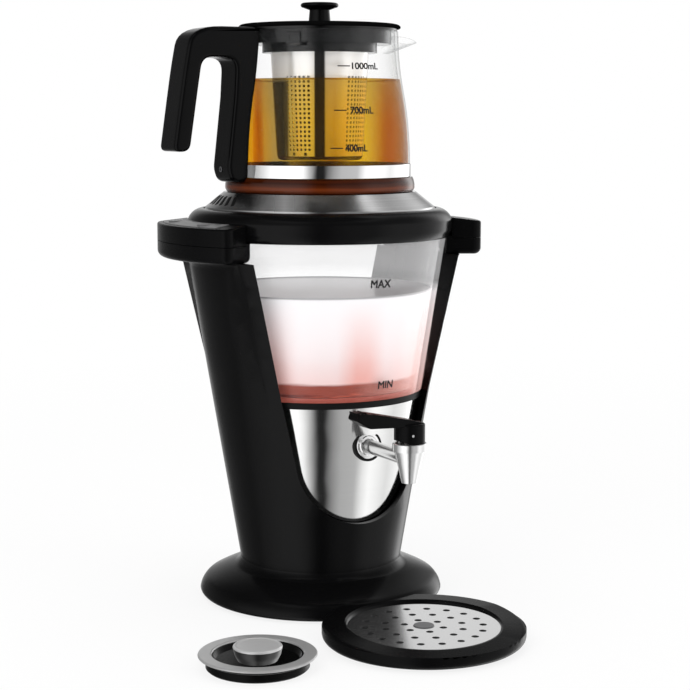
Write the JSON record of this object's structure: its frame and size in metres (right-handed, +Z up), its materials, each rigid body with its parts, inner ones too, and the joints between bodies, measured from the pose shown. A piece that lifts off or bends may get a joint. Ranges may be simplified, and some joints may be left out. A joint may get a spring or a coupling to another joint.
{
  "type": "automatic tea maker",
  "caption": "Water boiler in a cone-shaped stand with a lever tap and drip tray, and a glass teapot with infuser keeping warm on top.",
  "frame": {"origin": "centre of the foot, on the surface it stands on", "axes": "+Z up, -Y towards the tap and drip tray, X through the two carrying ears with the teapot's handle at -X and its spout at +X"},
  "size_m": [0.269, 0.2993, 0.4168],
  "materials": {
    "gloss_black": "smooth glossy moulding",
    "matte_black": "satin moulding",
    "grey_plastic": "satin moulding",
    "smoked_plastic": "smooth heat-proof moulding",
    "brushed_steel": "fine brushed",
    "polished_steel": "polished",
    "screw_steel": "plain zinc plated",
    "cast_aluminium": "cast",
    "clear_glass": "clear borosilicate",
    "amber_glass": "amber translucent",
    "red_light": "translucent red lens",
    "rubber": "moulded silicone",
    "board_green": "coated circuit board"
  },
  "bodies": {
    "stand": {"stand_shell": "gloss_black", "base_plate": "matte_black", "base_screws": "screw_steel", "rubber_feet": "rubber", "control_board": "board_green", "cord_gland": "matte_black", "steel_vessel": "brushed_steel", "vessel_gasket": "rubber", "glass_vessel": "clear_glass", "light_diffuser": "red_light", "led_ring": "board_green", "heater_disc": "cast_aluminium", "thermostat": "screw_steel", "vessel_support": "screw_steel", "vessel_collar": "gloss_black", "collar_gasket": "rubber", "warmer_ring": "brushed_steel", "left_ear_lower": "matte_black", "left_ear_upper": "matte_black", "right_ear_lower": "matte_black", "right_ear_upper": "matte_black", "ear_screws": "screw_steel", "control_inlay": "gloss_black", "button_board": "board_green", "tap_pipe": "polished_steel", "tap_gasket": "rubber", "tap_flange": "polished_steel", "tap_nut": "screw_steel", "tap_nozzle": "polished_steel", "tap_bonnet": "polished_steel", "tap_spring": "screw_steel"},
    "lever": {"tap_lever": "matte_black", "lever_pin": "screw_steel"},
    "valve": {"tap_stem": "screw_steel", "tap_plug": "rubber"},
    "power_key": {"power_button": "grey_plastic"},
    "warm_key": {"warm_button": "grey_plastic"},
    "teapot": {"pot_glass": "clear_glass", "pot_base_ring": "amber_glass", "pot_band": "polished_steel", "pot_handle": "matte_black", "handle_bracket": "screw_steel", "handle_pin": "screw_steel"},
    "infuser": {"infuser_rim": "smoked_plastic", "infuser_basket": "brushed_steel"},
    "pot_lid": {"lid_disc": "gloss_black", "lid_gasket": "rubber", "lid_knob": "gloss_black", "lid_screw": "screw_steel"},
    "drip_tray": {"tray_pan": "matte_black"},
    "drip_plate": {"tray_plate": "brushed_steel", "grid_plug": "grey_plastic"},
    "cap": {"cap_ring": "brushed_steel", "cap_body": "matte_black", "cap_knob": "brushed_steel", "cap_seal": "rubber"}
  },
  "joints": [
    {"name": "lever_swing", "type": "hinge", "parent": "stand", "child": "lever", "pos_m": [-0.003, -0.121, 0.1344], "axis": [0, -1, 0], "range_deg": [0, 16], "stiffness_Nm_per_rad": 0.1, "springref_deg": -11.46},
    {"name": "valve_lift", "type": "slide", "parent": "stand", "child": "valve", "axis": [0, 0, 1], "range_m": [0, 0.0013], "deforming": ["tap_spring"]},
    {"name": "power_press", "type": "slide", "parent": "stand", "child": "power_key", "axis": [0, 0, -1], "range_m": [0, 0.0012], "stiffness_N_per_m": 300, "springref_m": -0.001},
    {"name": "warm_press", "type": "slide", "parent": "stand", "child": "warm_key", "axis": [0, 0, -1], "range_m": [0, 0.0012], "stiffness_N_per_m": 300, "springref_m": -0.001},
    {"name": "teapot_lift", "type": "slide", "parent": "stand", "child": "teapot", "axis": [0, 0, 1], "range_m": [0, 0.1]},
    {"name": "infuser_lift", "type": "slide", "parent": "teapot", "child": "infuser", "axis": [0, 0, 1], "range_m": [0, 0.11]},
    {"name": "lid_lift", "type": "slide", "parent": "infuser", "child": "pot_lid", "axis": [0, 0, 1], "range_m": [0, 0.06]},
    {"name": "tray_slide", "type": "slide", "parent": "stand", "child": "drip_tray", "axis": [0, -1, 0], "range_m": [0, 0.08]},
    {"name": "plate_lift", "type": "slide", "parent": "drip_tray", "child": "drip_plate", "axis": [0, 0, 1], "range_m": [0, 0.03]},
    {"name": "cap_lift", "type": "slide", "parent": "stand", "child": "cap", "axis": [0, 0, 1], "range_m": [0, 0.05]}
  ],
  "couplings": [
    {"joint": "lever_swing", "follows": "valve_lift", "rad_per_m": 214.8}
  ]
}
